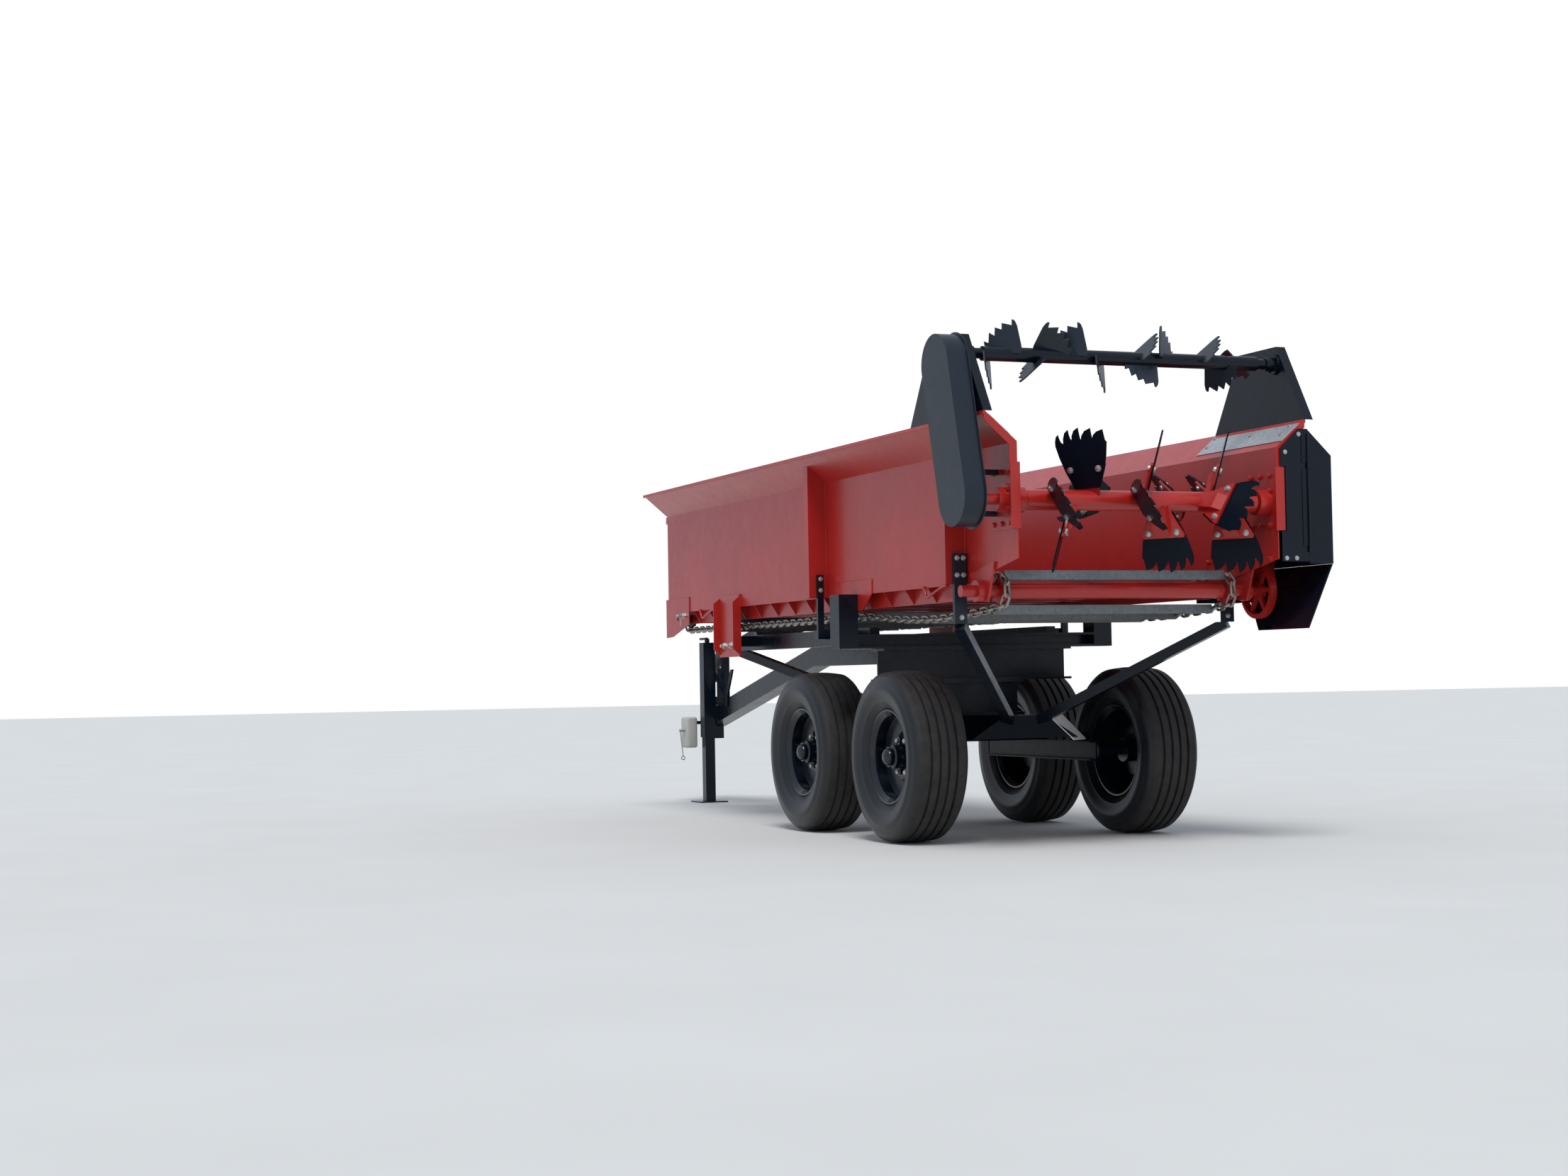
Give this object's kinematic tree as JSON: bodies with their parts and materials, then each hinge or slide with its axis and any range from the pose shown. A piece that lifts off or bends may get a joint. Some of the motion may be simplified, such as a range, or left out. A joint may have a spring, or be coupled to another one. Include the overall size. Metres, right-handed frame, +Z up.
{
  "type": "manure spreader",
  "caption": "Trailed manure spreader: flared steel box on tandem wheels, chain apron floor, clawed rear beaters, chain guard, hinged drive cover, drawbar and jack.",
  "frame": {"origin": "on the ground, under the middle of the object's overall length and width", "axes": "+X the direction of travel, towards the hitch; +Y the machine's left side; +Z up"},
  "size_m": [5.8001, 1.77, 2.2398],
  "materials": {
    "red_paint": "satin",
    "black_paint": "satin",
    "slate_paint": "satin",
    "galvanised": "dull",
    "chain_steel": "dull",
    "guard_plastic": "matt",
    "rim_paint": "satin",
    "canister_plastic": "matt",
    "tyre": "matt"
  },
  "bodies": {
    "chassis": {"side_walls": "red_paint", "side_posts": "red_paint", "front_panel": "red_paint", "floor": "red_paint", "cross_members": "red_paint", "end_plates": "red_paint", "bearing_plates": "red_paint", "beater_bearings": "red_paint", "wear_plates": "galvanised", "towers": "black_paint", "tower_bearings": "black_paint", "chain_guard": "slate_paint", "drive_cover": "black_paint", "gearbox": "red_paint", "front_case": "black_paint", "apron_gear": "red_paint", "apron_rear_shaft": "red_paint", "apron_front_shaft": "black_paint", "apron_bearings": "red_paint", "apron_chains": "chain_steel", "apron_slats": "galvanised", "bolster_beams": "black_paint", "bolster_posts": "black_paint", "side_plates": "red_paint", "pedestal": "black_paint", "axles": "black_paint", "walking_beams": "black_paint", "chassis_rails": "black_paint", "cross_beams": "black_paint", "front_legs": "red_paint", "hangers": "black_paint", "struts": "black_paint", "tongue": "black_paint", "hitch": "black_paint", "jack_tube": "black_paint", "shaft_stand": "black_paint", "canister": "canister_plastic", "side_drive": "guard_plastic", "pto_shaft": "guard_plastic"},
    "wheel_rear_left": {"wheel_rear_left": "rim_paint", "tyre_rear_left": "tyre"},
    "wheel_rear_right": {"wheel_rear_right": "rim_paint", "tyre_rear_right": "tyre"},
    "wheel_front_left": {"wheel_front_left": "rim_paint", "tyre_front_left": "tyre"},
    "wheel_front_right": {"wheel_front_right": "rim_paint", "tyre_front_right": "tyre"},
    "lower_beater": {"lower_beater": "red_paint", "lower_claws": "black_paint"},
    "upper_beater": {"upper_beater": "black_paint", "upper_blades": "slate_paint"},
    "cover_door": {"cover_door": "black_paint"},
    "jack_leg": {"jack_leg": "black_paint"}
  },
  "joints": [
    {"name": "wheel_rear_left_spin", "type": "hinge", "parent": "chassis", "child": "wheel_rear_left", "pos_m": [-1.48, 0.585, 0.39], "axis": [0, 1, 0], "continuous": true},
    {"name": "wheel_rear_right_spin", "type": "hinge", "parent": "chassis", "child": "wheel_rear_right", "pos_m": [-1.48, -0.585, 0.39], "axis": [0, 1, 0], "continuous": true},
    {"name": "wheel_front_left_spin", "type": "hinge", "parent": "chassis", "child": "wheel_front_left", "pos_m": [-0.44, 0.585, 0.39], "axis": [0, 1, 0], "continuous": true},
    {"name": "wheel_front_right_spin", "type": "hinge", "parent": "chassis", "child": "wheel_front_right", "pos_m": [-0.44, -0.585, 0.39], "axis": [0, 1, 0], "continuous": true},
    {"name": "lower_beater_spin", "type": "hinge", "parent": "chassis", "child": "lower_beater", "pos_m": [-2.601, 0, 1.473], "axis": [0, -1, 0], "continuous": true},
    {"name": "upper_beater_spin", "type": "hinge", "parent": "chassis", "child": "upper_beater", "pos_m": [-2.471, 0, 2.093], "axis": [0, -1, 0], "continuous": true},
    {"name": "cover_door_hinge", "type": "hinge", "parent": "chassis", "child": "cover_door", "pos_m": [-2.7013, -0.7695, 1.45], "axis": [0, 0, -1], "range_deg": [0, 105]},
    {"name": "jack_leg_slide", "type": "slide", "parent": "chassis", "child": "jack_leg", "axis": [0, 0, 1], "range_m": [0, 0.3]}
  ],
  "couplings": [
    {"joint": "upper_beater_spin", "follows": "lower_beater_spin", "ratio": 1}
  ]
}
